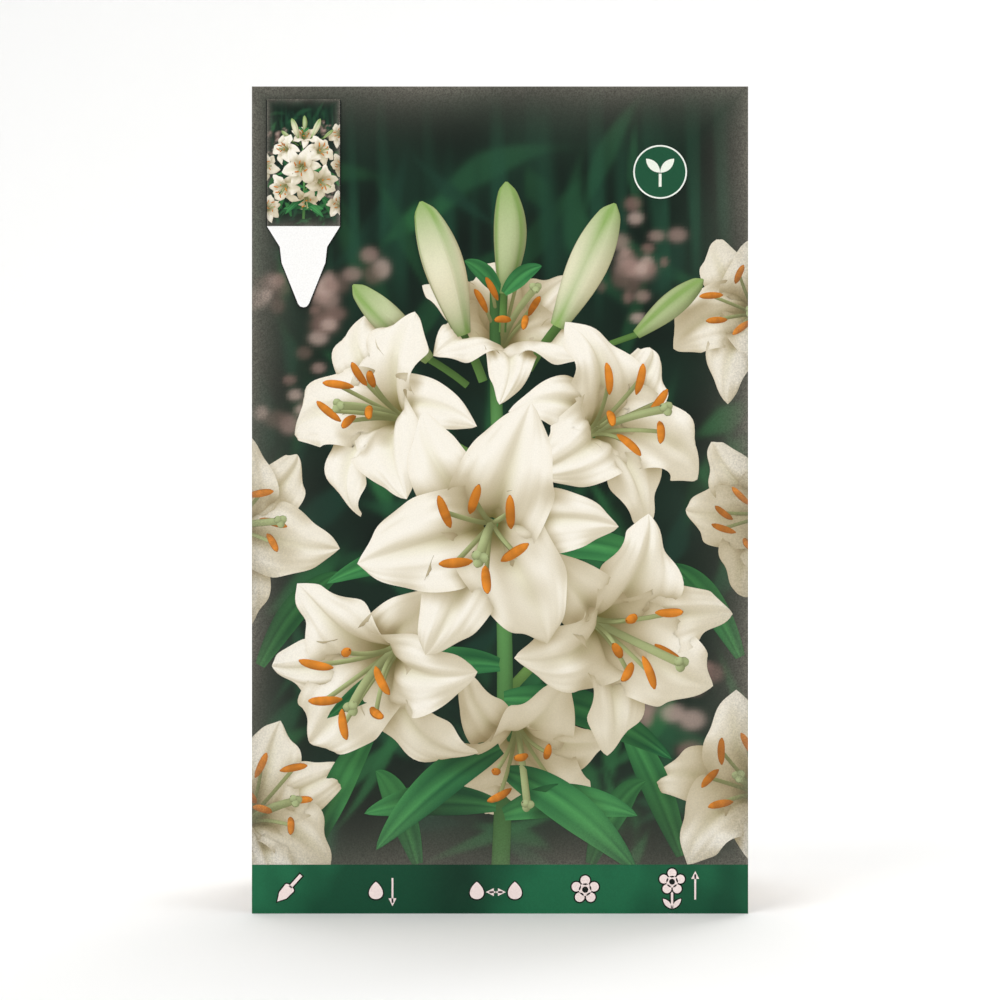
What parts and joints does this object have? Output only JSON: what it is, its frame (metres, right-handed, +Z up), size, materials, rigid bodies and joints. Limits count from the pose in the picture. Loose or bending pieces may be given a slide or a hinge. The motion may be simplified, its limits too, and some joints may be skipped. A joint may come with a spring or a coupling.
{
  "type": "flower bulb sales pack",
  "caption": "Upright printed card with a clear gusseted film bag behind it, holding a scaly lily bulb bedded in wood shavings and a pointed stake label.",
  "frame": {"origin": "centre of the bounding box at its bottom, on the bag's flat foot", "axes": "+Z up the card, the card's printed face towards -Y, the bag towards +Y, +X to the right as the printed face is seen"},
  "size_m": [0.12, 0.071, 0.2],
  "materials": {
    "printed_board": "varnished four-colour print on folding boxboard, plain grey back",
    "clear_film": "clear glossy polypropylene film",
    "bulb_flesh": "waxy cream bulb scales",
    "root_flesh": "dry tan roots",
    "pine_shavings": "raw planed pine",
    "label_plastic": "smooth white polystyrene sheet, printed head"
  },
  "bodies": {
    "root": {"printed_card": "printed_board", "film_bag": "clear_film", "bulb_scales": "bulb_flesh", "bulb_roots": "root_flesh", "wood_shavings": "pine_shavings", "stake_label": "label_plastic"}
  },
  "joints": []
}
